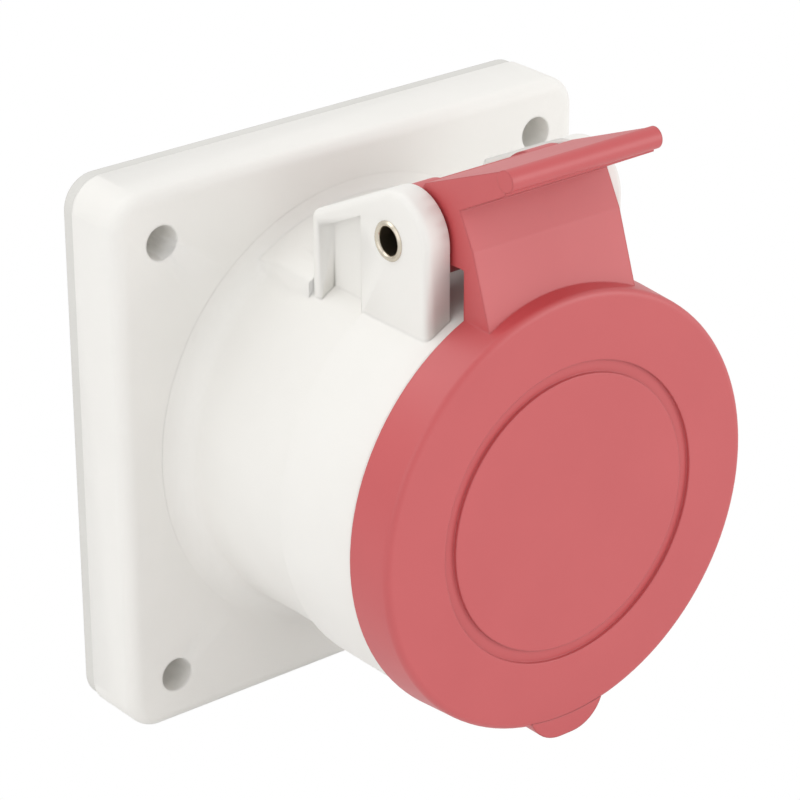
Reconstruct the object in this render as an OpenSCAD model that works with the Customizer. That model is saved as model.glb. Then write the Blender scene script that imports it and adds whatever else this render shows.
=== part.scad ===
// Industrial panel socket: five poles, square flange, round barrel and a sprung lid
// on a riveted hinge. The panel lies in the plane y = 0, the socket faces -Y and +Z is up.
// The origin is the centre of the rear face of the flange gasket.
// Sizes named ..._d are distances in front of the panel, so they run along -Y.

/* [Flange] */
// Width and height of the square flange
flange_w = 86; // [82:1:100]
// Radius of the flange corners
flange_corner_r = 5; // [3:0.5:8]
// Rounding of the flange's front edge
flange_edge_r = 2; // [0.5:0.5:2.5]
// Depth of the moulded flange, without its gasket
flange_depth = 10.7; // [10:0.1:14]
// Thickness of the flange's front plate
flange_plate_t = 3.2; // [2.8:0.1:4]
// Thickness of the flange's side walls
flange_rim_t = 3; // [2:0.5:4]
// Thickness of the gasket behind the flange
gasket_t = 2.3; // [1.5:0.1:3]
// Distance between mounting holes, both ways
hole_pitch = 70; // [68:1:74]
// Diameter of the mounting holes
hole_d = 5.3; // [4.5:0.1:5.5]
// Diameter of the bosses around the mounting holes
hole_boss_d = 11; // [9:0.5:12]
// Width of the gasket beside its round opening
gasket_land = 5; // [4:0.5:7]

/* [Barrel] */
// Inner radius of the barrel, which takes the plug's collar
cavity_r = 28.8; // [28.4:0.1:29.2]
// Wall thickness of the barrel
barrel_wall = 3.5; // [3:0.1:4]
// Radius of the fillet between barrel and flange
barrel_fillet_r = 4; // [2:0.5:4]
// Height of the wider front collar above the barrel
collar_step = 0.9; // [0.5:0.1:1.2]
// Where the front collar begins
collar_start_d = 37; // [34:0.5:39]
// Where the front collar ends, just behind the lid's skirt
collar_end_d = 53.9; // [53:0.1:54]
// Wall thickness of the spigot that the lid covers
spigot_wall = 2.4; // [2:0.1:2.6]
// Distance from the panel to the spigot's rim
rim_d = 57.1; // [56.5:0.1:57.2]
// Distance from the panel to the shoulder that the carrier's base seats against
carrier_seat_d = 14; // [14:0.1:15]
// Width of the keyway at the bottom of the barrel
keyway_w = 6.2; // [5:0.2:8]
// Depth of the keyway in the barrel's wall
keyway_depth = 1.3; // [0.8:0.1:1.4]

/* [Hinge] */
// Distance of the hinge axis in front of the panel
hinge_d = 43.4; // [43.2:0.1:43.8]
// Height of the hinge axis
hinge_z = 40.5; // [40.3:0.1:41]
// Radius of the ears' round front corner
ear_r = 7.05; // [6.9:0.05:7.3]
// Distance of that corner's centre in front of the panel
ear_arc_d = 44.8; // [44.6:0.1:45.2]
// Height of that corner's centre
ear_arc_z = 41.1; // [41:0.1:42]
// Rounding of the ears' outer edges
ear_edge_r = 1; // [0.4:0.1:1.2]
// Distance between the inner faces of the ears
ear_gap = 28; // [27.6:0.1:28.4]
// Thickness of each ear
ear_t = 4; // [3.5:0.1:5]
// Slope of the ears' top edge in degrees
ear_slope = 26; // [22:1:28]
// Distance from the panel to the rear of the ears
ear_rear_d = 25.6; // [24:0.2:27]
// Rounding of the ears' rear corner
ear_corner_r = 1.5; // [0.5:0.1:2]
// Depth of the pocket in each ear's outer side
ear_pocket_depth = 2.5; // [1:0.1:2.8]
// Radius of the raised pad behind the ears
pad_r = 34; // [33.6:0.1:34.5]
// Width of the raised pad
pad_w = 37; // [34:0.5:40]
// Diameter of the hinge rivet
rivet_d = 5; // [4.9:0.1:5.2]
// Diameter of the hole in the rivet
rivet_bore_d = 4.1; // [3:0.1:4.2]
// Diameter of the rivet's turned-over rims
rivet_rim_d = 5.9; // [5.8:0.1:6.6]
// Running clearance around the rivet, on the radius
rivet_clearance = 0.05; // [0.02:0.01:0.09]

/* [Lid] */
// Outer radius of the lid at its face
lid_face_r = 33.4; // [33:0.1:34]
// Outer radius of the lid at the skirt's rear edge
lid_skirt_r = 33.84; // [33.6:0.02:34.2]
// Thickness of the lid's skirt
lid_skirt_t = 1.6; // [1.3:0.1:1.8]
// Thickness of the lid's face
lid_face_t = 2.4; // [1.8:0.1:3]
// Distance from the panel to the lid's face
lid_face_d = 61.9; // [61.7:0.1:62.4]
// Gap between the lid's skirt and the collar
lid_gap = 0.2; // [0.1:0.05:0.4]
// Rounding of the lid's front edge
lid_edge_r = 1; // [0.4:0.1:1.5]
// Inner radius of the shallow ring groove in the face
face_groove_r = 21.1; // [18:0.1:24]
// Width of the ring groove
face_groove_w = 1.9; // [1:0.1:3]
// Depth of the ring groove
face_groove_depth = 0.5; // [0.2:0.1:0.8]
// Width of the lid's arm between the ears
arm_w = 26.8; // [26:0.1:27.4]
// Radius of the arm's knuckle around the rivet
knuckle_r = 6.7; // [6.5:0.1:6.8]
// Width of the spring's space inside the knuckle
spring_slot_w = 16; // [15:0.5:18]
// Thickness of the finger lip
lip_t = 3.4; // [2.6:0.1:3.6]
// Upward slope of the finger lip in degrees
lip_slope = 22; // [18:1:26]
// Distance from the panel to the centre of the lip's front bead
bead_d = 62.7; // [60:0.1:64]
// Radius of the lip's front bead
bead_r = 1.6; // [1.4:0.05:1.9]
// Width of the lip's front bead
bead_w = 27; // [26.4:0.1:27.6]
// Width of the tab at the bottom of the lid
tab_w = 14.2; // [13:0.1:20]
// Radius of the tab's nose
tab_nose_r = 6; // [3:0.5:6]
// Distance from the barrel's axis to the tab's lower edge
tab_reach = 36; // [35:0.1:38]
// Thickness of the tab
tab_t = 4; // [2.5:0.1:5]
// Thickness of the lid's rubber seal
seal_t = 2.2; // [1.8:0.1:2.2]

/* [Spring] */
// Diameter of the spring's wire
wire_d = 1; // [0.8:0.1:1.2]
// Mean radius of the spring's coil
coil_r = 3.9; // [3.6:0.1:4.1]
// Number of full turns
coil_turns = 8; // [5:1:9]

/* [Contacts] */
// Diameter of the plug's phase and neutral pins
pin_d = 5; // [4.6:0.1:5.2]
// Diameter of the plug's earth pin
earth_pin_d = 7; // [6.4:0.1:7.2]
// Radius of the circle that the contacts lie on
contact_circle_r = 17; // [16.8:0.1:17.2]
// Wall thickness of the contact sleeves
sleeve_wall = 1.1; // [0.9:0.1:1.2]
// Clearance around the pin in its sleeve, on the radius
pin_clearance = 0.03; // [0.02:0.01:0.06]
// Distance from the panel to the sleeves' front ends
sleeve_front_d = 51.6; // [49:0.1:51.8]
// Length of the sleeves' bores
sleeve_bore_length = 26; // [20:0.5:28]
// Length of the slots in the sleeves
sleeve_slot_length = 18; // [12:0.5:19]
// Width of the slots in the sleeves
sleeve_slot_w = 0.8; // [0.5:0.1:1]
// Width of the spring ring around each sleeve
ring_w = 1.6; // [1:0.1:2]
// Thickness of the spring ring
ring_t = 0.7; // [0.5:0.1:0.8]
// Thickness of the contacts' retaining collars
contact_collar_t = 2; // [1.5:0.1:2.5]

/* [Insulators] */
// Radius of the contact carrier, inside the plug's collar
carrier_r = 23.8; // [23.6:0.1:24]
// Distance from the panel to the contact carrier's face
carrier_face_d = 54.2; // [53.8:0.1:54.6]
// Thickness of the contact carrier's base
carrier_flange_t = 3; // [2:0.1:3.5]
// Thickness of the terminal carrier's plate
plate_t = 6; // [5:0.1:6.5]
// Radius of the terminal carrier behind its plate
terminal_body_r = 25.6; // [25.4:0.1:26]
// How far the terminal carrier stands behind the panel's plane
terminal_reach = 11.5; // [11:0.5:14]
// Thickness of the terminal carrier's rear wall
terminal_wall = 3.3; // [2:0.1:3.5]
// Distance from the flange's side walls to the axes of the carrier screws
carrier_screw_inset = 5.6; // [5.2:0.1:6]
// Thickness of the arms that take the carrier screws
carrier_arm_t = 2.5; // [2:0.1:2.8]

/* [Screws] */
// Diameter of the carrier screws
carrier_screw_d = 3; // [2.5:0.1:3.2]
// Diameter of the terminal screws
terminal_screw_d = 4; // [3.5:0.1:4]
// Diameter of the terminal screws' heads
terminal_head_d = 6.4; // [6:0.1:6.6]
// Thickness of the wire clamp plates
clamp_plate_t = 1.2; // [0.8:0.1:1.4]

/* [Hidden] */

$fn = 96;
// Overshoot of cutting shapes past the faces that they cut
cut = 1;
// Side clearance of parts that are held in their seats
seat_clearance = 0.2;
// Clearance of a screw or rivet in the hole that holds it
screw_clearance = 0.02;

// Contacts, clockwise from the bottom as seen from the front, as angles from +X
earth_angle = -90;
phase_1_angle = 198;
phase_2_angle = 126;
phase_3_angle = 54;
neutral_angle = -18;
POLE_ANGLES = [phase_1_angle, phase_2_angle, phase_3_angle, neutral_angle];

// Flange, from the panel forward
carrier_screw_circle_r = flange_w / 2 - flange_rim_t - carrier_screw_inset;
flange_front_d = gasket_t + flange_depth;
plate_rear_d = flange_front_d - flange_plate_t;
hollow_w = flange_w - 2 * flange_rim_t;
rib_t = 1.8;

// Barrel
barrel_r = cavity_r + barrel_wall;
barrel_draft = 0.2;
collar_r = barrel_r + collar_step;
spigot_r = cavity_r + spigot_wall;
recess_r = cavity_r + 1.2;
fillet_foot = 0.05;
foot_end_d = flange_front_d + fillet_foot + barrel_fillet_r;
keyway_end_gap = 2;
edge_break = 0.5;

// Ears: their outline runs from the front, round the rivet and down a slope to the rear
ear_top_angle = 90 + ear_slope;
ear_tangent_d = ear_arc_d + ear_r * cos(ear_top_angle);
ear_tangent_z = ear_arc_z + ear_r * sin(ear_top_angle);
ear_outer_x = ear_gap / 2 + ear_t;
ear_rear_z = ear_z(ear_rear_d);
ear_foot_z = 20;
ear_seat_gap = 0.02;
pocket_rear_wall = 2.3;
pocket_front_d = ear_arc_d - ear_r - 0.6;
pocket_top_wall = 2.8;
rivet_r = rivet_d / 2;
rivet_rim_t = 0.4;
rivet_rim_w = 0.3;

// Lid
lid_skirt_d = collar_end_d + lid_gap;
lid_inner_r = lid_skirt_r - lid_skirt_t;
lid_inside_d = lid_face_d - lid_face_t;
seal_rib_t = 0.9;
seal_inner_r = cavity_r - 0.4;
seal_outer_r = lid_inner_r - seat_clearance;
seal_rib_r = seal_inner_r - 0.1;

// Arm of the lid: a riser from the skirt with a fold, then the finger lip
riser_fold_z = ear_arc_z + 0.4;
riser_fold_d = lid_skirt_d + 1.9;
riser_lean = 0.334;
riser_top_d = riser_fold_d - 2.8;
riser_top_z = riser_fold_z + 5.3;
lip_back_d = ear_arc_d + 1;
lip_back_z = ear_arc_z + ear_r + 0.5;
arm_floor_z = hinge_z - 2.2;
arm_foot_z = 28;
bead_z = lip_z(bead_d) - bead_r;
shell_r = coil_r + 1.3;
shell_end_angle = 98;

// Spring: fixed leg on the barrel, moving leg in a slot of the arm
wire_sides = 8;
steps_per_turn = 20;
coil_w = spring_slot_w - 3.2;
coil_end_angle = -54;
leg_gap = 0.3;
fixed_leg_d = 30;
fixed_leg_x = -coil_w / 2;
fixed_leg_z = sqrt(pow(barrel_r, 2) - pow(fixed_leg_x, 2)) + wire_d / 2 + leg_gap;
fixed_leg_back = [fixed_leg_d - hinge_d, fixed_leg_z - hinge_z];
coil_start_angle = atan2(fixed_leg_back[1], fixed_leg_back[0]) + acos(coil_r / norm(fixed_leg_back));
moving_leg_length = 6.6;
leg_slot_w = wire_d + 1.4;

// Contacts
sleeve_neck_rear_d = carrier_seat_d - carrier_flange_t;
sleeve_nose_length = 0.4;
sleeve_nose_gap = 0.1;
collar_front_d = sleeve_neck_rear_d + contact_collar_t;
terminal_front_d = 9;
terminal_rear_d = terminal_wall - terminal_reach + seat_clearance;
terminal_margin = 1.1;
cover_front_d = terminal_wall - terminal_reach;
window_depth = 12;
window_side_wall = 1.9;
window_inner_wall = 1.4;
window_outer_wall = 2.3;
ring_front_gap = 2.2;
ring_groove_depth = 0.45;
ring_slack = 0.04;
ring_opening = 1;
core_gap = 0.28;
collar_width = 0.9;
collar_seat_gap = 0.1;
pin_hole_gap = 0.6;

// Terminal carrier and its screws
plate_front_d = sleeve_neck_rear_d;
plate_rear_face_d = plate_front_d - plate_t;
arm_front_d = plate_rear_face_d + carrier_arm_t;
plate_r = recess_r - 2 * seat_clearance;
carrier_arm_w = 8.4;
screw_axis_d = -2;
clamp_plate_length = 8.4;
clamp_plate_rear_gap = 0.6;
carrier_head_r = carrier_screw_d / 2 + 1.3;
carrier_head_t = 2;
carrier_screw_tip_d = plate_front_d;
carrier_screw_end_gap = 0.3;
carrier_arm_root = 10;
recess_w = 0.8;
recess_length = 3;
recess_depth = 1;

// Height of the ears' sloping top edge at a distance in front of the panel
function ear_z(d) = ear_tangent_z - (ear_tangent_d - d) * tan(ear_slope);
// Height of the lip's top surface at a distance in front of the panel
function lip_z(d) = lip_back_z + (d - lip_back_d) * tan(lip_slope);
// Points of an arc about a centre, from one angle to another
function arc(c, r, a0, a1, n) =
    [for (i = [0:n]) c + r * [cos(a0 + (a1 - a0) * i / n), sin(a0 + (a1 - a0) * i / n)]];
// Sizes that follow from a contact's pin diameter
function bore_r(pin) = pin / 2 + pin_clearance;
function sleeve_r(pin) = bore_r(pin) + sleeve_wall;
function ring_inner_r(pin) = sleeve_r(pin) - ring_groove_depth + ring_slack;
function pin_hole_r(pin) = pin / 2 + pin_hole_gap;
function core_r(pin) = ring_inner_r(pin) + ring_t + core_gap;
function collar_flange_r(pin) = core_r(pin) + collar_width;
function terminal_half(pin) = sleeve_r(pin) + terminal_margin;
function window_top(pin) = terminal_half(pin) - window_outer_wall;
function window_bottom(pin) = terminal_half(pin) - window_inner_wall;
function window_half_w(pin) = terminal_half(pin) - window_side_wall;

// A profile of (radius, distance in front of the panel), turned round the barrel's axis
module turned() {
    rotate([90, 0, 0])
        rotate_extrude()
            children();
}

// A flat outline in X and Z, from one distance in front of the panel to another
module forward(from_d, to_d) {
    translate([0, -from_d, 0])
        rotate([90, 0, 0])
            linear_extrude(height = to_d - from_d)
                children();
}

// A round bar in front of the panel, from one distance to another
module forward_bar(r, from_d, to_d) {
    forward(from_d, to_d)
        circle(r = r);
}

// A side outline of (distance in front of the panel, height), centred across X
module across(width) {
    rotate([90, 0, -90])
        linear_extrude(height = width, center = true)
            children();
}

// A round bar along the hinge axis
module hinge_bar(r, width) {
    translate([0, -hinge_d, hinge_z])
        rotate([0, 90, 0])
            cylinder(r = r, h = width, center = true);
}

module rounded_square(w, r) {
    square([w - 2 * r, w], center = true);
    square([w, w - 2 * r], center = true);
    for (sx = [-1, 1])
        for (sz = [-1, 1])
            translate([sx * (w / 2 - r), sz * (w / 2 - r)])
                circle(r = r);
}

module at_mounting_holes() {
    for (sx = [-1, 1])
        for (sz = [-1, 1])
            translate([sx * hole_pitch / 2, 0, sz * hole_pitch / 2])
                children();
}

module at_carrier_screws() {
    for (a = [0:90:270])
        rotate([0, -a, 0])
            translate([carrier_screw_circle_r, 0, 0])
                children();
}

// Puts a contact's parts on its place: +X of the child points away from the barrel's axis
module at_contact(angle) {
    rotate([0, -angle, 0])
        translate([contact_circle_r, 0, 0])
            children();
}

// Square slab with a rounded front edge, the outside of the flange
module flange_slab() {
    corner = flange_w / 2 - flange_corner_r;
    hull()
        for (sx = [-1, 1])
            for (sz = [-1, 1])
                translate([sx * corner, 0, sz * corner])
                    turned($fn = 48)
                        polygon(concat(
                            [[0, flange_front_d], [0, gasket_t], [flange_corner_r, gasket_t]],
                            arc([flange_corner_r - flange_edge_r, flange_front_d - flange_edge_r],
                                flange_edge_r, 0, 90, 6)
                        ));
}

// Flange: a front plate with side walls, hollow from behind, with bosses and ribs
module flange() {
    color("gainsboro")
        difference() {
            union() {
                flange_shell();
                at_mounting_holes()
                    forward_bar(hole_boss_d / 2, gasket_t, plate_rear_d + cut);
                flange_diagonal_ribs();
                at_mounting_holes()
                    flange_corner_ribs();
                at_carrier_screws()
                    carrier_post();
            }
            forward_bar(recess_r, gasket_t - cut, flange_front_d + cut);
            at_mounting_holes()
                forward_bar(hole_d / 2, gasket_t - cut, flange_front_d + cut);
            at_carrier_screws()
                forward_bar(carrier_screw_d / 2 + screw_clearance, arm_front_d - cut,
                            carrier_screw_tip_d + carrier_screw_end_gap);
        }
}

module flange_shell() {
    difference() {
        flange_slab();
        forward(gasket_t - cut, plate_rear_d)
            rounded_square(hollow_w, max(flange_corner_r - flange_rim_t, 1));
    }
}

// Ribs from the round opening to each mounting boss
module flange_diagonal_ribs() {
    start = recess_r + 2;
    for (a = [45:90:315])
        rotate([0, -a, 0])
            translate([start, -plate_rear_d - cut, -rib_t / 2])
                cube([hole_pitch / sqrt(2) - start, plate_rear_d - gasket_t - 2, rib_t]);
}

// Two short ribs that tie a mounting boss to the flange's side walls
module flange_corner_ribs() {
    reach = flange_w - hole_pitch - flange_rim_t;
    translate([-reach / 2, -plate_rear_d - cut, -rib_t / 2])
        cube([reach, plate_rear_d - gasket_t - 1, rib_t]);
    translate([-rib_t / 2, -plate_rear_d - cut, -reach / 2])
        cube([rib_t, plate_rear_d - gasket_t - 1, reach]);
}

// Post behind the front plate that takes a carrier screw, tied to the side wall
module carrier_post() {
    forward_bar(carrier_screw_d / 2 + 1.8, arm_front_d, plate_rear_d + cut);
    translate([0, -plate_rear_d - cut, -rib_t / 2])
        cube([flange_w / 2 - flange_rim_t / 2 - carrier_screw_circle_r,
              plate_rear_d + cut - arm_front_d, rib_t]);
}

// Outside of the barrel: fillet at the flange, slight draft, front collar and spigot
module barrel_outside() {
    turned()
        polygon(concat(
            [[0, rim_d], [0, flange_front_d], [barrel_r + barrel_fillet_r, flange_front_d]],
            arc([barrel_r + barrel_fillet_r, flange_front_d + fillet_foot + barrel_fillet_r],
                barrel_fillet_r, 270, 180, 8),
            [[barrel_r - barrel_draft, ear_rear_d], [barrel_r - barrel_draft, collar_start_d],
             [collar_r - edge_break, collar_start_d],
             [collar_r, collar_start_d + edge_break],
             [collar_r, collar_end_d - edge_break],
             [collar_r - edge_break, collar_end_d],
             [spigot_r, collar_end_d],
             [spigot_r, rim_d - edge_break],
             [spigot_r - edge_break, rim_d]]
        ));
}

// Raised pad on top of the barrel, behind the ears
module hinge_pad() {
    intersection() {
        forward_bar(pad_r, flange_front_d, ear_rear_d);
        translate([-pad_w / 2, -ear_rear_d - cut, ear_foot_z])
            cube([pad_w, ear_rear_d - flange_front_d + 2 * cut, pad_r]);
    }
}

// Side outline of an ear, drawn in by an inset for the rounding of its outer edge
module ear_outline(inset) {
    corner_d = ear_rear_d + ear_corner_r;
    corner_z = ear_z(corner_d) - ear_corner_r / cos(ear_slope);
    polygon(concat(
        [[ear_arc_d + ear_r - inset, ear_foot_z]],
        arc([ear_arc_d, ear_arc_z], ear_r - inset, 0, ear_top_angle, 16),
        arc([corner_d, corner_z], max(ear_corner_r - inset, 0.1), ear_top_angle, 180, 4),
        [[ear_rear_d + inset, ear_foot_z]]
    ));
}

// One ear on the +X side, with its outer edge rounded
module ear() {
    inner_x = ear_gap / 2;
    hull()
        for (a = [0:30:90]) {
            width = ear_t - ear_edge_r * (1 - sin(a));
            translate([inner_x + width / 2, 0, 0])
                across(width)
                    ear_outline(ear_edge_r * (1 - cos(a)));
        }
}

module ear_pocket_outline() {
    rear = ear_rear_d + pocket_rear_wall;
    front = pocket_front_d;
    polygon([
        [rear, ear_foot_z], [front, ear_foot_z],
        [front, ear_z(front) - pocket_top_wall], [rear, ear_z(rear) - pocket_top_wall]
    ]);
}

// Outside of the barrel under the ears, which are cut to sit on it
module ear_seat() {
    tube_r = barrel_r - barrel_draft + ear_seat_gap;
    seat_r = collar_r + ear_seat_gap;
    turned()
        polygon([
            [0, ear_rear_d - cut], [tube_r, ear_rear_d - cut], [tube_r, collar_start_d],
            [seat_r - edge_break, collar_start_d], [seat_r, collar_start_d + edge_break],
            [seat_r, collar_end_d + cut], [0, collar_end_d + cut]
        ]);
}

// Ears on both sides of the lid's arm, each with a pocket in its outer side
module hinge_ears() {
    color("gainsboro")
        for (side = [0, 1])
            mirror([side, 0, 0])
                difference() {
                    ear();
                    translate([ear_outer_x - ear_pocket_depth / 2 + cut / 2, 0, 0])
                        across(ear_pocket_depth + cut)
                            ear_pocket_outline();
                    ear_seat();
                    hinge_bar(rivet_r + screw_clearance, 2 * ear_outer_x + 2 * cut);
                }
}

// Whole barrel: fillet, tube, collar and spigot, with a shoulder for the carrier's base
module barrel_shape() {
    difference() {
        union() {
            barrel_outside();
            hinge_pad();
        }
        forward_bar(cavity_r, flange_front_d - cut, rim_d + cut);
        forward_bar(recess_r, flange_front_d - cut, carrier_seat_d);
        translate([-keyway_w / 2, -rim_d - cut, -cavity_r - keyway_depth])
            cube([keyway_w, rim_d + cut - carrier_seat_d - keyway_end_gap, 2 * keyway_depth]);
    }
}

// Foot of the barrel, which meets the flange in a fillet
module barrel_foot() {
    color("gainsboro")
        intersection() {
            barrel_shape();
            forward_bar(flange_w / 2, flange_front_d - cut, foot_end_d);
        }
}

// Barrel in front of its foot
module barrel() {
    color("gainsboro")
        difference() {
            barrel_shape();
            forward_bar(flange_w / 2, flange_front_d - cut, foot_end_d);
        }
}

// Flat rubber sheet between flange and panel
module flange_gasket() {
    color("lightgray")
        forward(0, gasket_t)
            difference() {
                rounded_square(flange_w - 0.4, flange_corner_r);
                circle(r = flange_w / 2 - gasket_land);
                for (sx = [-1, 1])
                    for (sz = [-1, 1])
                        translate([sx * hole_pitch / 2, sz * hole_pitch / 2])
                            circle(d = hole_d);
            }
}

// Lid's cap: face with a ring groove, rounded edge, skirt, and a rib that holds the seal
module lid_cap() {
    groove_outer_r = face_groove_r + face_groove_w;
    turned()
        polygon(concat(
            [[0, lid_inside_d], [0, lid_face_d],
             [face_groove_r, lid_face_d], [face_groove_r, lid_face_d - face_groove_depth],
             [groove_outer_r, lid_face_d - face_groove_depth], [groove_outer_r, lid_face_d]],
            arc([lid_face_r - lid_edge_r, lid_face_d - lid_edge_r], lid_edge_r, 90, 0, 5),
            [[lid_skirt_r, lid_skirt_d + edge_break / 2],
             [lid_skirt_r - edge_break / 2, lid_skirt_d],
             [lid_inner_r, lid_skirt_d], [lid_inner_r, lid_inside_d],
             [seal_rib_r, lid_inside_d], [seal_rib_r, lid_inside_d - seal_t + 0.3],
             [seal_rib_r - seal_rib_t, lid_inside_d - seal_t + 0.3],
             [seal_rib_r - seal_rib_t, lid_inside_d]]
        ));
}

// Side outline of the arm: riser with its fold, and the plate of the finger lip
module arm_outline() {
    foot_d = riser_fold_d + (riser_fold_z - arm_foot_z) * riser_lean;
    lip_under = lip_t / cos(lip_slope);
    polygon([
        [lid_skirt_d, arm_foot_z], [foot_d, arm_foot_z],
        [riser_fold_d, riser_fold_z], [riser_top_d, riser_top_z],
        [bead_d, lip_z(bead_d) - lip_under], [bead_d, lip_z(bead_d)],
        [lip_back_d, lip_back_z],
        [lip_back_d - 1.2, hinge_z + knuckle_r - 0.2], [hinge_d, hinge_z],
        [hinge_d, arm_floor_z], [lid_skirt_d, arm_floor_z]
    ]);
    translate([hinge_d, hinge_z])
        circle(r = knuckle_r);
}

// Space for the spring's coil: open at the bottom and at the rear
module spring_space() {
    open_r = knuckle_r + 3;
    hinge_bar(shell_r, spring_slot_w);
    across(spring_slot_w)
        polygon([
            [hinge_d, hinge_z],
            [hinge_d + open_r * cos(shell_end_angle), hinge_z + open_r * sin(shell_end_angle)],
            [hinge_d - open_r, hinge_z + open_r],
            [hinge_d - open_r, hinge_z - open_r],
            [hinge_d + shell_r, hinge_z - open_r],
            [hinge_d + shell_r, hinge_z]
        ]);
}

// Slot that the spring's moving leg presses in, in line with the leg
module leg_slot() {
    a = coil_end_angle;
    half = wire_d / 2 + leg_gap;
    translate([-fixed_leg_x, 0, 0])
        across(leg_slot_w)
            translate([hinge_d + coil_r * cos(a), hinge_z + coil_r * sin(a)])
                rotate(a + 90)
                    translate([0, -half])
                        square([moving_leg_length + leg_gap, 2 * half + 0.5]);
}

// Lid: cap, arm with its knuckle, finger lip with a bead, and the tab at the bottom
module lid() {
    color("indianred")
        difference() {
            union() {
                lid_cap();
                difference() {
                    across(arm_w)
                        arm_outline();
                    forward_bar((lid_inner_r + lid_skirt_r) / 2, lid_skirt_d - cut, lid_face_d + cut);
                    spring_space();
                    leg_slot();
                }
                translate([0, -bead_d, bead_z])
                    rotate([0, 90, 0])
                        cylinder(r = bead_r, h = bead_w, center = true);
                lid_tab();
            }
            hinge_bar(rivet_r + rivet_clearance, arm_w + 2 * cut);
        }
}

// Tab: a rounded nose below the lid, flush with its face
module lid_tab() {
    nose_x = tab_w / 2 - tab_nose_r;
    nose_z = tab_nose_r - tab_reach;
    difference() {
        forward(lid_face_d - tab_t, lid_face_d) {
            for (side = [-1, 1])
                translate([side * nose_x, nose_z])
                    circle(r = tab_nose_r);
            translate([-nose_x, -tab_reach])
                square([2 * nose_x, tab_nose_r]);
            translate([-tab_w / 2, nose_z])
                square([tab_w, tab_nose_r]);
        }
        forward_bar((lid_inner_r + lid_face_r) / 2, lid_face_d - tab_t - cut, lid_face_d + cut);
        translate([-tab_w, -lid_face_d - cut, cut - lid_inner_r / 2])
            cube([2 * tab_w, tab_t + 2 * cut, lid_inner_r]);
    }
}

// Rubber ring in the lid that lies against the spigot's rim
module lid_seal() {
    color("black")
        turned()
            polygon([
                [seal_inner_r, lid_inside_d], [seal_outer_r, lid_inside_d],
                [seal_outer_r, lid_inside_d - seal_t + edge_break],
                [seal_outer_r - edge_break, lid_inside_d - seal_t],
                [seal_inner_r + edge_break, lid_inside_d - seal_t],
                [seal_inner_r, lid_inside_d - seal_t + edge_break]
            ]);
}

// Tubular rivet through both ears and the lid's knuckle, with both rims turned over
module hinge_rivet() {
    half = ear_outer_x;
    end = half + rivet_rim_t;
    rim_r = rivet_rim_d / 2;
    bore = rivet_bore_d / 2;
    flare = rim_r - rivet_rim_w - bore;
    color("silver")
        translate([0, -hinge_d, hinge_z])
            rotate([0, 90, 0])
                rotate_extrude()
                    polygon(concat(
                        arc([bore + flare, flare - end], flare, 180, 270, 5),
                        [[rim_r, rivet_rim_w - end], [rim_r, -half], [rivet_r, -half],
                         [rivet_r, half], [rim_r, half], [rim_r, end - rivet_rim_w]],
                        arc([bore + flare, end - flare], flare, 90, 180, 5)
                    ));
}

// Path of the spring's wire as points of (x, distance in front, height)
total_angle = 360 * coil_turns + coil_end_angle - coil_start_angle;
coil_steps = ceil(steps_per_turn * total_angle / 360);
function coil_point(a, x) = [x, hinge_d + coil_r * cos(a), hinge_z + coil_r * sin(a)];
function spring_path() =
    concat(
        [[fixed_leg_x, fixed_leg_d, fixed_leg_z]],
        [for (i = [0:coil_steps])
            coil_point(coil_start_angle + total_angle * i / coil_steps,
                       fixed_leg_x + coil_w * i / coil_steps)],
        [coil_point(coil_end_angle, -fixed_leg_x)
            + moving_leg_length * [0, -sin(coil_end_angle), cos(coil_end_angle)]]
    );
function unit(v) = v / norm(v);
function path_direction(p, i) =
    unit(p[min(i + 1, len(p) - 1)] - p[max(i - 1, 0)]);

// Torsion spring: one wire swept along its path
module lid_spring() {
    path = spring_path();
    n = len(path);
    rings = [for (i = [0:n - 1])
        let (t = path_direction(path, i),
             u = unit(cross(t, [1, 0, 0])),
             v = cross(t, u))
        for (k = [0:wire_sides - 1])
            path[i] + wire_d / 2 * (u * cos(360 * k / wire_sides) + v * sin(360 * k / wire_sides))];
    walls = [for (i = [0:n - 2]) for (k = [0:wire_sides - 1])
        let (a = i * wire_sides, j = (k + 1) % wire_sides)
        [a + k, a + j, a + wire_sides + j, a + wire_sides + k]];
    start_cap = [[for (k = [0:wire_sides - 1]) wire_sides - 1 - k]];
    end_cap = [[for (k = [0:wire_sides - 1]) (n - 1) * wire_sides + k]];
    color("lightsteelblue")
        multmatrix([[1, 0, 0, 0], [0, -1, 0, 0], [0, 0, 1, 0], [0, 0, 0, 1]])
            polyhedron(points = rings, faces = concat(walls, start_cap, end_cap), convexity = 10);
}

// Front insulator: pin holes in its face, and a core behind each for the sleeve
module contact_carrier() {
    color("whitesmoke")
        difference() {
            turned()
                polygon([
                    [0, carrier_seat_d], [carrier_r, carrier_seat_d],
                    [carrier_r, carrier_face_d - 1], [carrier_r - 1, carrier_face_d],
                    [0, carrier_face_d]
                ]);
            contact_cores();
        }
}

// Base of the front insulator: a disc against the barrel's shoulder, with seats for the contacts
module carrier_base() {
    color("whitesmoke")
        difference() {
            forward_bar(recess_r - seat_clearance, sleeve_neck_rear_d, carrier_seat_d);
            contact_cores();
        }
}

module contact_cores() {
    for (a = POLE_ANGLES)
        at_contact(a)
            contact_core(pin_d);
    at_contact(earth_angle)
        contact_core(earth_pin_d);
}

// Hole for a pin in the face, room for the sleeve behind it, and a seat for its collar
module contact_core(pin) {
    shoulder_d = sleeve_front_d - sleeve_nose_length;
    forward_bar(pin_hole_r(pin), shoulder_d - cut, carrier_face_d + cut);
    forward_bar(core_r(pin), sleeve_neck_rear_d - cut, shoulder_d);
    forward_bar(collar_flange_r(pin) + collar_seat_gap, sleeve_neck_rear_d - cut, collar_front_d);
}

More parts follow.
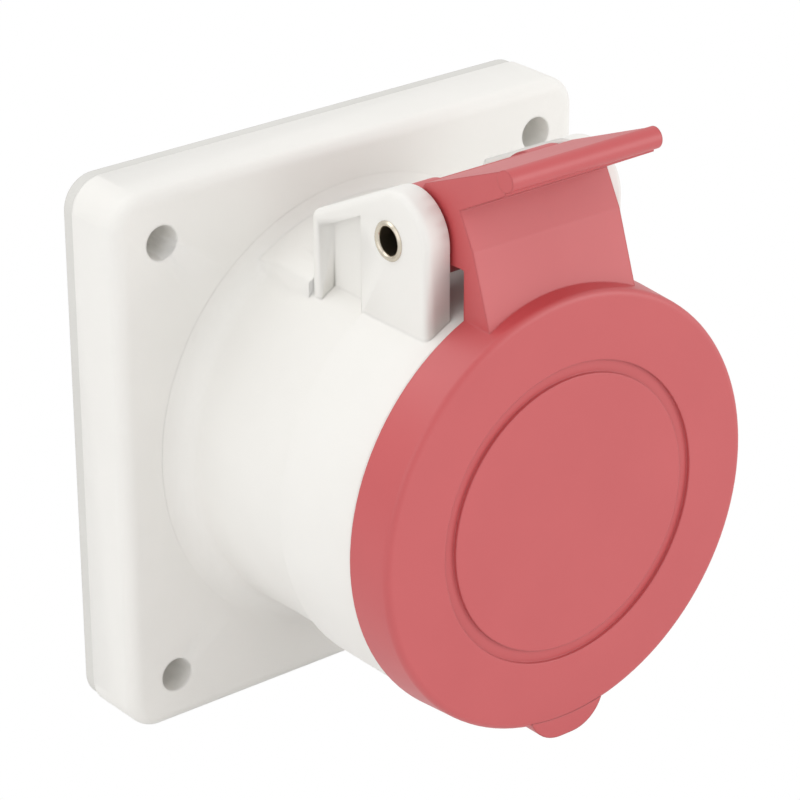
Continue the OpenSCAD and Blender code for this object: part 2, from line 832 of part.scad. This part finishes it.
// Rear insulator: a pocket for each terminal, open to the side for its screw
module terminal_carrier() {
    color("lightgray")
        difference() {
            forward_bar(terminal_body_r, cover_front_d, plate_rear_face_d);
            terminal_pockets();
        }
}

// Plate of the rear insulator: a disc with arms for the carrier screws
module carrier_plate() {
    color("lightgray")
        difference() {
            union() {
                forward_bar(plate_r, arm_front_d, plate_front_d);
                forward_bar(terminal_body_r, plate_rear_face_d, arm_front_d);
                at_carrier_screws()
                    carrier_arm();
            }
            terminal_pockets();
            at_carrier_screws()
                forward_bar(carrier_screw_d / 2 + seat_clearance, plate_rear_face_d - cut,
                            plate_front_d + cut);
        }
}

// Cover of the rear insulator, with a wire window behind each terminal
module rear_cover() {
    color("lightgray")
        difference() {
            turned()
                polygon([
                    [0, -terminal_reach], [terminal_body_r - 1, -terminal_reach],
                    [terminal_body_r, 1 - terminal_reach], [terminal_body_r, cover_front_d],
                    [0, cover_front_d]
                ]);
            terminal_pockets();
        }
}

module terminal_pockets() {
    for (a = POLE_ANGLES)
        at_contact(a)
            terminal_pocket(pin_d);
    at_contact(earth_angle)
        terminal_pocket(earth_pin_d);
}

// Arm from the terminal carrier to one of its screws, with a round end
module carrier_arm() {
    forward(plate_rear_face_d, arm_front_d) {
        circle(d = carrier_arm_w, $fn = 48);
        translate([carrier_arm_root - carrier_screw_circle_r, -carrier_arm_w / 2])
            square([carrier_screw_circle_r - carrier_arm_root, carrier_arm_w]);
    }
}

// Pocket for a terminal, its wire window and the way in for its screw
module terminal_pocket(pin) {
    half = terminal_half(pin) + seat_clearance;
    forward(cover_front_d, plate_front_d + cut)
        square([2 * half, 2 * half], center = true);
    forward(-terminal_reach - cut, cover_front_d + cut)
        window_outline(pin);
    translate([0, -screw_axis_d, 0])
        rotate([0, 90, 0])
            cylinder(r = terminal_head_d / 2 + 0.3, h = 2 * terminal_body_r);
}

module window_outline(pin) {
    translate([-window_bottom(pin), -window_half_w(pin)])
        square([window_bottom(pin) + window_top(pin), 2 * window_half_w(pin)]);
}

// Brass contact: slotted sleeve, retaining collar, and a terminal with a wire window
module contact(pin, angle) {
    color("goldenrod")
        at_contact(angle)
            difference() {
                union() {
                    forward_bar(sleeve_r(pin), terminal_front_d,
                                sleeve_front_d - sleeve_nose_length);
                    forward_bar(pin_hole_r(pin) - sleeve_nose_gap, collar_front_d, sleeve_front_d);
                    forward_bar(collar_flange_r(pin), sleeve_neck_rear_d, collar_front_d);
                    forward(terminal_rear_d, terminal_front_d)
                        square(2 * terminal_half(pin), center = true);
                }
                forward_bar(bore_r(pin), sleeve_front_d - sleeve_bore_length, sleeve_front_d + cut);
                ring_groove(pin);
                translate([-sleeve_slot_w / 2, -sleeve_front_d - cut, -sleeve_r(pin) - cut])
                    cube([sleeve_slot_w, sleeve_slot_length + cut, 2 * sleeve_r(pin) + 2 * cut]);
                forward(terminal_rear_d - cut, terminal_rear_d + window_depth)
                    window_outline(pin);
                translate([0, -screw_axis_d, 0])
                    rotate([0, 90, 0])
                        cylinder(r = terminal_screw_d / 2 + screw_clearance,
                                 h = terminal_half(pin) + cut);
            }
}

module ring_groove(pin) {
    front = sleeve_front_d - ring_front_gap;
    difference() {
        forward_bar(sleeve_r(pin) + cut, front - ring_w - 2 * ring_slack, front);
        forward_bar(sleeve_r(pin) - ring_groove_depth, front - ring_w - 2 * cut, front + cut);
    }
}

// Open spring ring that keeps a slotted sleeve tight on its pin
module grip_ring(pin, angle) {
    front = sleeve_front_d - ring_front_gap - ring_slack;
    color("lightsteelblue")
        at_contact(angle)
            difference() {
                forward_bar(ring_inner_r(pin) + ring_t, front - ring_w, front);
                forward_bar(ring_inner_r(pin), front - ring_w - cut, front + cut);
                translate([0, -front - cut, -ring_opening / 2])
                    cube([2 * sleeve_r(pin), ring_w + 2 * cut, ring_opening]);
            }
}

// Plate that the terminal screw presses on the wire
module clamp_plate(pin, angle) {
    top = window_top(pin) - ring_slack;
    half_w = window_half_w(pin) - seat_clearance;
    rear_d = terminal_rear_d + clamp_plate_rear_gap;
    color("silver")
        at_contact(angle)
            translate([top - clamp_plate_t, -rear_d - clamp_plate_length, -half_w])
                cube([clamp_plate_t, clamp_plate_length, 2 * half_w]);
}

module terminal_screw(pin, angle) {
    head_bottom = terminal_half(pin) + 0.05;
    head_t = 2.4;
    tip = window_top(pin) + ring_slack;
    slot_depth = 1.1;
    at_contact(angle)
        translate([0, -screw_axis_d, 0])
            rotate([0, 90, 0])
                difference() {
                    union() {
                        translate([0, 0, tip])
                            cylinder(d = terminal_screw_d, h = head_bottom + head_t / 2 - tip, $fn = 48);
                        translate([0, 0, head_bottom])
                            cylinder(d = terminal_head_d, h = head_t, $fn = 48);
                    }
                    translate([-terminal_head_d, -0.5, head_bottom + head_t - slot_depth])
                        cube([2 * terminal_head_d, 1, 2 * slot_depth]);
                }
}

module terminal_screws() {
    color("silver") {
        for (a = POLE_ANGLES)
            terminal_screw(pin_d, a);
        terminal_screw(earth_pin_d, earth_angle);
    }
}

// Screws that hold both insulators in the housing, with cross recesses
module carrier_screws() {
    color("silver")
        at_carrier_screws()
            difference() {
                union() {
                    forward_bar(carrier_screw_d / 2, plate_rear_face_d - 1, carrier_screw_tip_d,
                                $fn = 48);
                    forward_bar(carrier_head_r, plate_rear_face_d - carrier_head_t,
                                plate_rear_face_d, $fn = 48);
                }
                for (turn = [0, 90])
                    rotate([0, turn, 0])
                        translate([-recess_length / 2, -plate_rear_face_d + carrier_head_t
                                   - recess_depth, -recess_w / 2])
                            cube([recess_length, 2 * recess_depth, recess_w]);
            }
}

module earth_contact() { contact(earth_pin_d, earth_angle); }
module neutral_contact() { contact(pin_d, neutral_angle); }
module phase_contact_1() { contact(pin_d, phase_1_angle); }
module phase_contact_2() { contact(pin_d, phase_2_angle); }
module phase_contact_3() { contact(pin_d, phase_3_angle); }
module earth_ring() { grip_ring(earth_pin_d, earth_angle); }
module neutral_ring() { grip_ring(pin_d, neutral_angle); }
module phase_ring_1() { grip_ring(pin_d, phase_1_angle); }
module phase_ring_2() { grip_ring(pin_d, phase_2_angle); }
module phase_ring_3() { grip_ring(pin_d, phase_3_angle); }
module earth_clamp_plate() { clamp_plate(earth_pin_d, earth_angle); }
module neutral_clamp_plate() { clamp_plate(pin_d, neutral_angle); }
module phase_clamp_plate_1() { clamp_plate(pin_d, phase_1_angle); }
module phase_clamp_plate_2() { clamp_plate(pin_d, phase_2_angle); }
module phase_clamp_plate_3() { clamp_plate(pin_d, phase_3_angle); }

flange();
barrel_foot();
barrel();
hinge_ears();
flange_gasket();
lid();
lid_seal();
hinge_rivet();
lid_spring();
contact_carrier();
carrier_base();
carrier_plate();
terminal_carrier();
rear_cover();
earth_contact();
neutral_contact();
phase_contact_1();
phase_contact_2();
phase_contact_3();
earth_ring();
neutral_ring();
phase_ring_1();
phase_ring_2();
phase_ring_3();
earth_clamp_plate();
neutral_clamp_plate();
phase_clamp_plate_1();
phase_clamp_plate_2();
phase_clamp_plate_3();
terminal_screws();
carrier_screws();
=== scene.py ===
import math
import bmesh
import bpy
from mathutils import Matrix, Vector


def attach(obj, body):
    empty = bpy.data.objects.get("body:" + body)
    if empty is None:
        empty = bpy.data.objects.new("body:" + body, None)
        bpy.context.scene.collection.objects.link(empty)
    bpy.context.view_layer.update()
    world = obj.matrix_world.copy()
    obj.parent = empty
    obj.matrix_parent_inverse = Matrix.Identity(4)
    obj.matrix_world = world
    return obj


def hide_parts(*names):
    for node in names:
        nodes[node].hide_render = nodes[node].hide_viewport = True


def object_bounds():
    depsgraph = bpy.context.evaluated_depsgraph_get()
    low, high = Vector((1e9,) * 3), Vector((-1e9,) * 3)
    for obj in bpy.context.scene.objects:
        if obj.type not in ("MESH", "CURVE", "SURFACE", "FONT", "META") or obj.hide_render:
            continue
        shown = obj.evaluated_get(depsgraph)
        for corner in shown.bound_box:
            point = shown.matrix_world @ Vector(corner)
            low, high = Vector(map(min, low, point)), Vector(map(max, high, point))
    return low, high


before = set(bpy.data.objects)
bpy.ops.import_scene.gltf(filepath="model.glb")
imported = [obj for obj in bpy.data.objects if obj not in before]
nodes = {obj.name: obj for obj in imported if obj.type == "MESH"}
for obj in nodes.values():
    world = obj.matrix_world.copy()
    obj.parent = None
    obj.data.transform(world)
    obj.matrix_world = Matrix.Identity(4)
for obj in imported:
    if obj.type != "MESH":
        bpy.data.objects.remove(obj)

cad_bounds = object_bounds()

# Camera: a long lens, in front of the socket, to its left and a little above it,
# turned a touch about its own axis.
camera_place = Vector((-0.2932, -0.3900, 0.2209))
camera_aim = Vector((-0.0078, -0.0330, 0.00966))
camera_roll = math.radians(0.257)
lens_mm = 155.8
camera_data = bpy.data.cameras.new("camera")
camera_data.lens = lens_mm
camera_data.sensor_width = 36
camera_data.clip_start = 0.01
camera_data.clip_end = 10
camera = bpy.data.objects.new("camera", camera_data)
camera.location = camera_place
turn = (camera_aim - camera_place).to_track_quat("-Z", "Y").to_matrix()
camera.rotation_euler = (turn @ Matrix.Rotation(-camera_roll, 3, "Z")).to_euler()
bpy.context.scene.collection.objects.link(camera)
bpy.context.scene.camera = camera
bpy.context.scene.view_settings.view_transform = "Standard"

# Floor: a wide pale sheet just under the flange's lower edge. It shows white to the
# eye and in reflections, and keeps a soft grey for the light that it throws back.
floor_half_width = 3
floor_gap = 0.0002
floor_mesh = bpy.data.meshes.new("floor")
shape = bmesh.new()
bmesh.ops.create_grid(shape, x_segments=1, y_segments=1, size=floor_half_width)
bmesh.ops.translate(shape, vec=(0, 0, cad_bounds[0].z - floor_gap), verts=shape.verts)
shape.to_mesh(floor_mesh)
shape.free()
floor = bpy.data.objects.new("floor", floor_mesh)
bpy.context.scene.collection.objects.link(floor)
floor_paint = bpy.data.materials.new("floor_paint")
floor_paint.use_nodes = True
tree = floor_paint.node_tree
paint = tree.nodes["Principled BSDF"]
paint.inputs["Base Color"].default_value = (0.9, 0.9, 0.9, 1)
paint.inputs["Roughness"].default_value = 0.9
paint.inputs["Specular IOR Level"].default_value = 0.1
white = tree.nodes.new("ShaderNodeEmission")
white.inputs["Color"].default_value = (1, 1, 1, 1)
rays = tree.nodes.new("ShaderNodeLightPath")
seen = tree.nodes.new("ShaderNodeMath")
seen.operation = "MAXIMUM"
tree.links.new(rays.outputs["Is Camera Ray"], seen.inputs[0])
tree.links.new(rays.outputs["Is Glossy Ray"], seen.inputs[1])
mix = tree.nodes.new("ShaderNodeMixShader")
tree.links.new(seen.outputs[0], mix.inputs["Fac"])
tree.links.new(paint.outputs[0], mix.inputs[1])
tree.links.new(white.outputs[0], mix.inputs[2])
tree.links.new(mix.outputs[0], tree.nodes["Material Output"].inputs["Surface"])
floor_mesh.materials.append(floor_paint)

# Light: a soft even surround, with three large soft boxes that face the barrel from
# the left, the right, and above behind.
surround_strength = 0.83
lit_point = Vector((0, -0.03, 0))
world = bpy.data.worlds.new("surround")
bpy.context.scene.world = world
world.use_nodes = True
tree = world.node_tree
even = tree.nodes["Background"]
even.inputs["Color"].default_value = (1, 1, 1, 1)
even.inputs["Strength"].default_value = surround_strength
clear = tree.nodes.new("ShaderNodeBackground")
clear.inputs["Color"].default_value = (1, 1, 1, 1)
clear.inputs["Strength"].default_value = 1
rays = tree.nodes.new("ShaderNodeLightPath")
mix = tree.nodes.new("ShaderNodeMixShader")
tree.links.new(rays.outputs["Is Camera Ray"], mix.inputs["Fac"])
tree.links.new(even.outputs[0], mix.inputs[1])
tree.links.new(clear.outputs[0], mix.inputs[2])
tree.links.new(mix.outputs[0], tree.nodes["World Output"].inputs["Surface"])
for name, place, size, power in (
        ("box_left", (-0.75, -0.25, 0.35), 0.7, 1.0),
        ("box_right", (0.6, -0.75, 0.25), 0.6, 2.4),
        ("box_behind", (-0.3, 0.35, 0.8), 0.7, 2.0)):
    lamp_data = bpy.data.lights.new(name, "AREA")
    lamp_data.size = size
    lamp_data.energy = power
    lamp = bpy.data.objects.new(name, lamp_data)
    lamp.location = place
    aim = (lit_point - Vector(place)).to_track_quat("-Z", "Y")
    lamp.rotation_euler = aim.to_euler()
    bpy.context.scene.collection.objects.link(lamp)


# Flange, barrel and hinge ears: one moulding in warm off-white plastic, with a fine
# matt texture from the tool and slightly softened edges.
def moulded(name, light, dark, roughness, grain, grain_size, edge):
    """A moulded plastic: two near colours in soft clouds, a fine grain, and softened edges."""
    material = bpy.data.materials.new(name)
    material.use_nodes = True
    tree = material.node_tree
    surface = tree.nodes["Principled BSDF"]
    surface.inputs["IOR"].default_value = 1.5
    place = tree.nodes.new("ShaderNodeTexCoord")
    clouds = tree.nodes.new("ShaderNodeTexNoise")
    clouds.inputs["Scale"].default_value = 60
    clouds.inputs["Detail"].default_value = 3
    tree.links.new(place.outputs["Object"], clouds.inputs["Vector"])
    tint = tree.nodes.new("ShaderNodeMix")
    tint.data_type = "RGBA"
    tint.inputs["A"].default_value = (*light, 1)
    tint.inputs["B"].default_value = (*dark, 1)
    tree.links.new(clouds.outputs["Fac"], tint.inputs["Factor"])
    tree.links.new(tint.outputs["Result"], surface.inputs["Base Color"])
    gloss = tree.nodes.new("ShaderNodeMapRange")
    gloss.inputs["To Min"].default_value = roughness - 0.05
    gloss.inputs["To Max"].default_value = roughness + 0.05
    tree.links.new(clouds.outputs["Fac"], gloss.inputs["Value"])
    tree.links.new(gloss.outputs["Result"], surface.inputs["Roughness"])
    soft = tree.nodes.new("ShaderNodeBevel")
    soft.samples = 6
    soft.inputs["Radius"].default_value = edge
    speckle = tree.nodes.new("ShaderNodeTexNoise")
    speckle.inputs["Scale"].default_value = 1 / grain_size
    speckle.inputs["Detail"].default_value = 2
    tree.links.new(place.outputs["Object"], speckle.inputs["Vector"])
    relief = tree.nodes.new("ShaderNodeBump")
    relief.inputs["Strength"].default_value = 1
    relief.inputs["Distance"].default_value = grain
    tree.links.new(speckle.outputs["Fac"], relief.inputs["Height"])
    tree.links.new(soft.outputs["Normal"], relief.inputs["Normal"])
    tree.links.new(relief.outputs["Normal"], surface.inputs["Normal"])
    return material


def finish_with(material, *names):
    """Gives CAD nodes a material in place of the plain one that they carry."""
    for name in names:
        slots = nodes[name].data.materials
        slots.clear()
        slots.append(material)


housing_plastic = moulded("housing_plastic", (0.86, 0.845, 0.81), (0.80, 0.785, 0.75),
                          roughness=0.5, grain=0.000012, grain_size=0.0003, edge=0.0006)


weld_distance = 0.000001
sharp_angle = math.radians(32)


def copy_of(name, *parts):
    """A new piece from merged copies of CAD nodes, all in place."""
    mesh = bpy.data.meshes.new(name)
    shape = bmesh.new()
    for part in parts:
        shape.from_mesh(nodes[part].data)
    bmesh.ops.remove_doubles(shape, verts=shape.verts, dist=weld_distance)
    shape.to_mesh(mesh)
    shape.free()
    piece = bpy.data.objects.new(name, mesh)
    bpy.context.scene.collection.objects.link(piece)
    return piece


def fuse(piece, *others):
    """Fuses other pieces into the first, as one closed skin."""
    for other in others:
        join = piece.modifiers.new("join", "BOOLEAN")
        join.operation = "UNION"
        join.solver = "EXACT"
        join.object = other
    skin = bpy.data.meshes.new_from_object(
        piece.evaluated_get(bpy.context.evaluated_depsgraph_get()))
    piece.modifiers.clear()
    piece.data = skin
    for other in others:
        bpy.data.objects.remove(other)


housing = copy_of("housing", "flange")
fuse(housing, copy_of("foot", "barrel_foot"), copy_of("tube", "barrel"),
     copy_of("ears", "hinge_ears"))
for face in housing.data.polygons:
    face.use_smooth = True
housing.data.set_sharp_from_angle(angle=sharp_angle)
even = housing.modifiers.new("even", "WEIGHTED_NORMAL")
even.keep_sharp = True
even.weight = 80
housing.data.materials.clear()
housing.data.materials.append(housing_plastic)
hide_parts("flange", "barrel_foot", "barrel", "hinge_ears")
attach(housing, "socket_body")

# Gasket: a sheet of pale grey rubber, cut to the flange's outline. The flange presses
# it against the panel.
gasket_rubber = moulded("gasket_rubber", (0.72, 0.71, 0.68), (0.62, 0.61, 0.58),
                        roughness=0.8, grain=0.00003, grain_size=0.0004, edge=0.0003)
finish_with(gasket_rubber, "flange_gasket")

# Lid: one moulding in red plastic with a satin surface and a very fine grain. It turns
# on the rivet in its knuckle.
# The lid's base colour is partly the plastic's own deep red and partly painted sheen: its
# green and blue are raised so that the colour itself carries some of the whitish haze that the
# satin surface reflects.
lid_plastic = moulded("lid_plastic", (0.56, 0.078, 0.083), (0.51, 0.066, 0.072),
                      roughness=0.46, grain=0.00001, grain_size=0.00025, edge=0.0004)
lid_surface = lid_plastic.node_tree.nodes["Principled BSDF"]
lid_surface.inputs["Specular IOR Level"].default_value = 0.85
finish_with(lid_plastic, "lid")

# Lid seal: a ring of black rubber, pressed into the rib inside the lid. It closes
# against the barrel's rim.
seal_rubber = moulded("seal_rubber", (0.02, 0.02, 0.02), (0.035, 0.035, 0.035),
                      roughness=0.7, grain=0.00002, grain_size=0.0004, edge=0.0002)
finish_with(seal_rubber, "lid_seal")


# Hinge rivet, spring, contacts and screws: turned, wound and pressed metal, each with
# its own tone and polish: nickel, spring steel, brass and zinc.
def metal(name, light, dark, roughness, scratch_size):
    """A bare metal: the same build as the plastics, much finer, and metallic."""
    material = moulded(name, light, dark, roughness, grain=0.000004,
                       grain_size=scratch_size, edge=0.0001)
    material.node_tree.nodes["Principled BSDF"].inputs["Metallic"].default_value = 1
    return material


rivet_nickel = metal("rivet_nickel", (0.72, 0.66, 0.56), (0.6, 0.54, 0.44), 0.25, 0.0002)
finish_with(rivet_nickel, "hinge_rivet")
spring_steel = metal("spring_steel", (0.62, 0.62, 0.63), (0.5, 0.5, 0.51), 0.3, 0.0002)
finish_with(spring_steel, "lid_spring", "earth_ring", "neutral_ring", "phase_ring_1",
            "phase_ring_2", "phase_ring_3")
contact_brass = metal("contact_brass", (0.72, 0.5, 0.2), (0.62, 0.42, 0.16), 0.3, 0.0002)
finish_with(contact_brass, "earth_contact", "neutral_contact", "phase_contact_1",
            "phase_contact_2", "phase_contact_3")
screw_zinc = metal("screw_zinc", (0.68, 0.68, 0.66), (0.56, 0.56, 0.55), 0.32, 0.0002)
finish_with(screw_zinc, "terminal_screws", "carrier_screws", "earth_clamp_plate",
            "neutral_clamp_plate", "phase_clamp_plate_1", "phase_clamp_plate_2",
            "phase_clamp_plate_3")

# Insulators: the contact carrier in front and the terminal carrier behind it, moulded
# in pale grey plastic. The carrier screws hold both against the flange.
insulator = moulded("insulator", (0.62, 0.62, 0.6), (0.56, 0.56, 0.54),
                    roughness=0.5, grain=0.00001, grain_size=0.0003, edge=0.0003)
finish_with(insulator, "contact_carrier", "carrier_base", "carrier_plate", "terminal_carrier",
            "rear_cover")
